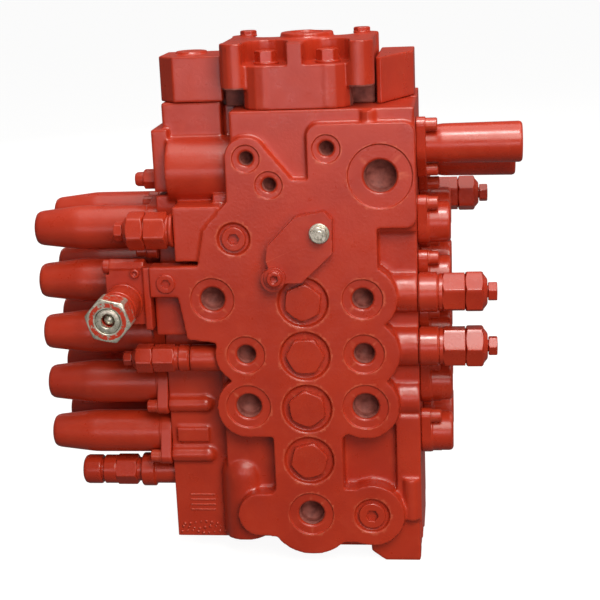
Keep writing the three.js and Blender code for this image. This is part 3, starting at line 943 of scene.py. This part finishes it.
def long_caps():
    """The two long caps over the travel spools, at the upper right."""
    screws = []
    for row, (y, z), ears in (
        ("front", (10, 484), [(-18, 24), (6, -30)]),
        ("rear", (64, 460), [(18, 24), (-6, -30)]),
    ):
        node = f"long_cap_{row}"
        low, high = node_box(node)
        length = high.x - low.x
        flange = 10.5
        sleeve = lathe([
            (0, 0), (0, 20.8), (20, 20.8), (26, 21.8), (30, 22.2), (length - 4, 23.0),
            (length - 1.6, 22.3), (length, 20.4), (length, 6.5), (length - 1.5, 5.5),
            (length - 1.5, 0),
        ], 72)
        shells = [sleeve, prism(flange_outline(24.5, ears), 0, flange)]
        piece = build(f"{node}_sleeve", all_placed(shells, "x", (low.x, y, z)))
        add_bevel(piece, 1.0)
        dress(piece, "fine", stands_for=(node,))
        for ear_y, ear_z in ears:
            screws.append(placed(socket_head(7.6, 13), "x", (low.x + flange, y + ear_y, z + ear_z)))
    dress(build("long_cap_screws", screws), "fine")


# ---------------------------------------------------------------- relief valves and fittings


def valve_root(sleeve, neck):
    """The turned part next to the casting: a grooved sleeve, or a low collar where there's no room."""
    if neck > 12:
        return lathe([
            (0, 0), (0, sleeve - 1.6), (1.0, sleeve - 1.6), (1.6, sleeve), (neck - 6, sleeve),
            (neck - 5.4, sleeve - 0.8), (neck - 5.0, sleeve - 2.6), (neck - 4.2, sleeve - 2.6),
            (neck - 3.8, sleeve - 1.6), (neck + 1.5, sleeve - 1.6), (neck + 1.5, 0),
        ], 64)
    return lathe([
        (0, 0), (0, sleeve * 0.95), (3.2, sleeve * 0.95), (4.2, sleeve * 0.86),
        (neck + 3, sleeve * 0.86), (neck + 3, 0),
    ], 64)


def relief_valve(name, out, flats, reach, twist, stout=1.0):
    """
    Sleeve, hexagon body, lock nut and turned collars, out from the casting along X as 1 or -1.
    reach is the length up to the screw, and the adjusting screw is a piece of its own.
    """
    low, high = node_box(f"relief_valve_{name}")
    face = low.x if out > 0 else high.x
    direction = "x" if out > 0 else "-x"
    at = (face, (low.y + high.y) / 2, (low.z + high.z) / 2)
    neck = reach - 50
    nut = flats * stout
    body = flats * 0.96 * stout
    shells = [
        valve_root(flats * 0.52 * stout, neck),
        hex_bar(neck, reach - 25.2, body, True, False, twist),
        cylinder(body * 0.48, neck + 1, reach - 23, 48),
        hex_bar(reach - 24.5, reach - 4.6, nut, True, True, twist),
        lathe([
            (reach - 6, 0), (reach - 6, nut * 0.46), (reach - 4.4, nut * 0.46),
            (reach - 0.5, nut * 0.34), (reach, nut * 0.3), (reach, 0),
        ], 48),
    ]
    fitting(
        f"relief_{name}_body", all_placed(shells, direction, at), 0.7,
        stands_for=(f"relief_valve_{name}",))
    screw = f"relief_screw_{name}"
    shells = [
        cylinder(flats * 0.17, reach - 3, reach + 2, 32),
        hex_bar(reach + 0.8, reach + 10.8, flats * 0.5, True, True, twist),
        lathe([
            (reach + 9, 0), (reach + 9, flats * 0.18), (reach + 11, flats * 0.15), (reach + 11, 0),
        ], 32),
    ]
    fitting(f"relief_{name}_screw_head", all_placed(shells, direction, at), 0.5, screw, (screw,))


def relief_valves():
    """Side, size across flats, reach and turn of each valve, and how stout it is."""
    relief_valve("right_upper", 1, 40, 77, 0.32, 1.08)
    relief_valve("right_lower", 1, 40, 77, 0.10, 1.08)
    relief_valve("right_rear", 1, 38, 70, 0.45)
    relief_valve("left_upper", -1, 39, 57, 0.22)
    relief_valve("left_lower", -1, 30, 68, 0.05)


def check_plugs():
    """The four hexagon plugs, each turned as far as it was screwed in."""
    for i in CHECKS:
        node = f"check_plug_{i}"
        centre = node_centre(node)
        shells = [
            hex_bar(-0.2, 7.4, 39, False, True, 0.25 + 0.4 * i),
            cylinder(16.8, -12, 0, 40),
        ]
        seat = (centre.x, PORT_FACE + CHECK_SEAT_DEPTH, centre.z)
        fitting(f"{node}_hex", all_placed(shells, "-y", seat), 0.6, stands_for=(node,))


def adapter_fitting():
    """Painted stem, a hexagon nut with worn corners, and the bare cone inside its mouth."""
    low, high = node_box("adapter_fitting")
    x, z = (low.x + high.x) / 2, (low.z + high.z) / 2
    root = (x, high.y, z)
    tip = (x, low.y, z)
    length = high.y - low.y
    nut = length - 27
    stem = lathe([
        (0, 0), (0, 22.5), (4, 22.5), (5.2, 21.2), (nut - 20, 21.2), (nut - 19, 20), (nut - 17.6, 20),
        (nut - 16.6, 21.2), (nut - 9, 21.2), (nut - 8, 20), (nut - 6.6, 20), (nut - 5.6, 21.2),
        (nut + 1, 21.2), (nut + 1, 0),
    ], 72)
    fitting("adapter_stem", [placed(stem, "-y", root)], 0.5)
    body = build("adapter_nut", [placed(hex_bar(nut, length, 46, True, True, 0.21), "-y", root)])
    mouth = lathe([
        (-6, 0), (-6, 15.2), *lip(0, 14.2, 1.0, 3), (8, 14.2), (8, 8), (30, 8), (30, 0)], 64)
    carve(body, [placed(mouth, "y", tip)])
    shade(body, 32)
    add_bevel(body, 0.5)
    dress(body, "zinc", stands_for=("adapter_fitting",))
    ring = tube([
        (0.6, 8.6), (0.6, 12.6), (1.2, 13.6), (6, 13.9), (7.5, 13.9), (7.5, 8.2), (4.5, 7.4),
        (1.4, 7.9),
    ])
    valve_ball = lathe([(6 + 5.6 * (1 - math.cos(a)), 6.6 * math.sin(a)) for a in arc(180, 16)], 40)
    cone = build("adapter_cone", all_placed([ring, valve_ball], "y", tip))
    dress(cone, "bolt")


def drain_fitting():
    """A round flange at the casting, a hexagon, and a flange nut behind a groove."""
    low, high = node_box("drain_fitting")
    length = high.x - low.x
    shells = [
        lathe([
            (0, 0), (0, 17), (25, 17), (26.3, 18.6), (26.6, 20.2), (41, 20.2), (42.4, 18.8),
            (42.4, 14.4), (49.5, 14.4), (49.5, 0),
        ], 64),
        hex_bar(48.5, 74.5, 33, True, True, 0.12),
        lathe([
            (73.5, 0), (73.5, 16.2), (75, 17.4), (89, 17.4), (89.3, 13.8), (92.4, 13.8), (92.6, 16.6),
            (94, 17.7), (length - 5.5, 17.7), (length - 2, 16.4), (length - 0.4, 13.8),
            (length - 0.4, 0),
        ], 64),
    ]
    at = (high.x, (low.y + high.y) / 2, (low.z + high.z) / 2)
    fitting(
        "drain_fitting_turned", all_placed(shells, "-x", at), 0.6, stands_for=("drain_fitting",))


# ---------------------------------------------------------------- cover, plugs and screws


def cover():
    """The cover plate, its zinc bolt, and the painted screw in its lower corner."""
    low, high = node_box("cover_plate")
    plate = cast("cover_casting", [cad_shell("cover_plate")], 0.8, 5, 0.4)
    # The plate's face is flat right up to its edge.
    face = low.y + 0.8
    above = block((low.x - 5, low.y - 9, low.z - 5), (high.x + 5, face, high.z + 5))
    carve(plate, [above])
    finish_cast(plate)
    dress(plate, "cast", stands_for=("cover_plate",))
    bolt = node_centre("cover_bolt")
    shells = [
        lathe([(0, 0), (0, 11.4), (1.6, 11.4), (2.2, 10.8), (2.2, 0)], 48),
        hex_bar(2.0, 10.0, 17, False, True, 0.35),
        lathe([(9, 0), (9, 5.5), (10.3, 5.0), (10.3, 0)], 32),
    ]
    zinc = build("cover_bolt_zinc", all_placed(shells, "-y", (bolt.x, face, bolt.z)))
    add_bevel(zinc, 0.3)
    dress(zinc, "bolt", stands_for=("cover_bolt",))
    x, z = -28.4, 352
    screw = placed(socket_head(8.6, 9), "-y", (x, face, z))
    washer = placed(spot_cutter(11.5, 1.2), "y", (x, face - 0.4, z))
    fitting("cover_screw_painted", [screw, washer], 0.5)


def port_plugs():
    """Screwed-in socket plugs, by (x, z, radius, depth of the seat, height over the seat)."""
    plugs = [
        (-74.6, 393.4, 13.6, PLUG_SEAT_DEPTH, 5.2), (-154.4, 343.4, 10.9, 0.0, 2.6),
        (70.8, 62.2, 15.4, PLUG_SEAT_DEPTH, 4.8),
    ]
    for number, (x, z, radius, sunk, height) in enumerate(plugs, 1):
        disc = lathe([
            (-6, 0), (-6, radius), (height - 0.8, radius), (height, radius - 0.8),
            (height, radius * 0.5), (height - 0.4, radius * 0.46), (height - 8.5, radius * 0.46),
            (height - 9.5, 0),
        ], 48)
        hex_socket(disc, radius * 0.49, radius * 0.84)
        fitting(f"port_plug_{number}", [placed(disc, "-y", (x, PORT_FACE + sunk, z))], 0.4)


def hex_screw(flats, height, washer):
    """The shells of a hexagon screw along X, with the washer under its head."""
    return [
        lathe([(0, 0), (0, washer), (1.8, washer), (2.6, washer - 0.8), (2.6, 0)], 40),
        hex_bar(2.4, height, flats, False, True, 0.4),
    ]


def top_screws():
    """Flange screws in the four pockets, and two more on the rear lobes."""
    shells = []
    for name, (low, high) in OPENINGS.items():
        if name.startswith("bolt_pocket"):
            x, y = ((low[i] + high[i]) / 2 / MM for i in (0, 1))
            shells += all_placed(hex_screw(22, 14.5, 14), "z", (x, y, low[2] / MM - 0.4))
    for x in (-66, 66):
        shells += all_placed(hex_screw(17, 6.8, 10), "z", (x, 69, 605.0))
    fitting("top_screws", shells, 0.5)


def side_fittings():
    """The small hexagon plug on the upper left flange, and the adapter block's screws."""
    plug = [
        hex_bar(0, 16, 21, False, True, 0.1),
        cylinder(12, 0, 2, 40),
        lathe([(15, 0), (15, 8.4), (24, 8.2), (26.5, 6.6), (26.5, 0)], 40),
    ]
    shells = [
        *all_placed(plug, "-x", (-170, 6, 451)),
        placed(socket_head(8, 8), "-x", (-221.6, -46, 360)),
        placed(socket_head(5.5, 6), "-y", (-191, -53.6, 354)),
    ]
    fitting("side_plug_and_screws", shells, 0.5)


def cast_details():
    """Foundry dots and thin ribs on the lower left of the casting, too fine for the fused shape."""
    shells = []
    for row in range(3):
        for i in range(9 - row):
            sway = 1.6 * math.sin(7.3 * i + 2.1 * row)
            size = 1.7 + 0.4 * math.sin(5.0 * i + row)
            shells.append(ball(size, (-163 + 6.6 * i + 2 * row, -24, 23 + 6 * row + sway), 12))
    for i in range(4):
        shells.append(bar(1.2, -150, -120, "x", (0, -23.9, 52 + 6.5 * i), 16))
    dress(build("cast_details", shells), "cast")


def inner_parts():
    """Spools and poppets keep their CAD shape and get a bevel and a ground finish."""
    for name, node in NODES.items():
        if name.startswith(("spool_", "check_poppet_")):
            node.data.materials.clear()
            node.data.materials.append(MATERIALS["steel"])
            add_bevel(node, 0.5)


# ---------------------------------------------------------------- the whole valve

make_camera()
make_studio()
front_casting()
rear_casting()
top_port_casting()
small_castings()
all_caps()
long_caps()
relief_valves()
check_plugs()
adapter_fitting()
drain_fitting()
cover()
port_plugs()
top_screws()
side_fittings()
cast_details()
inner_parts()
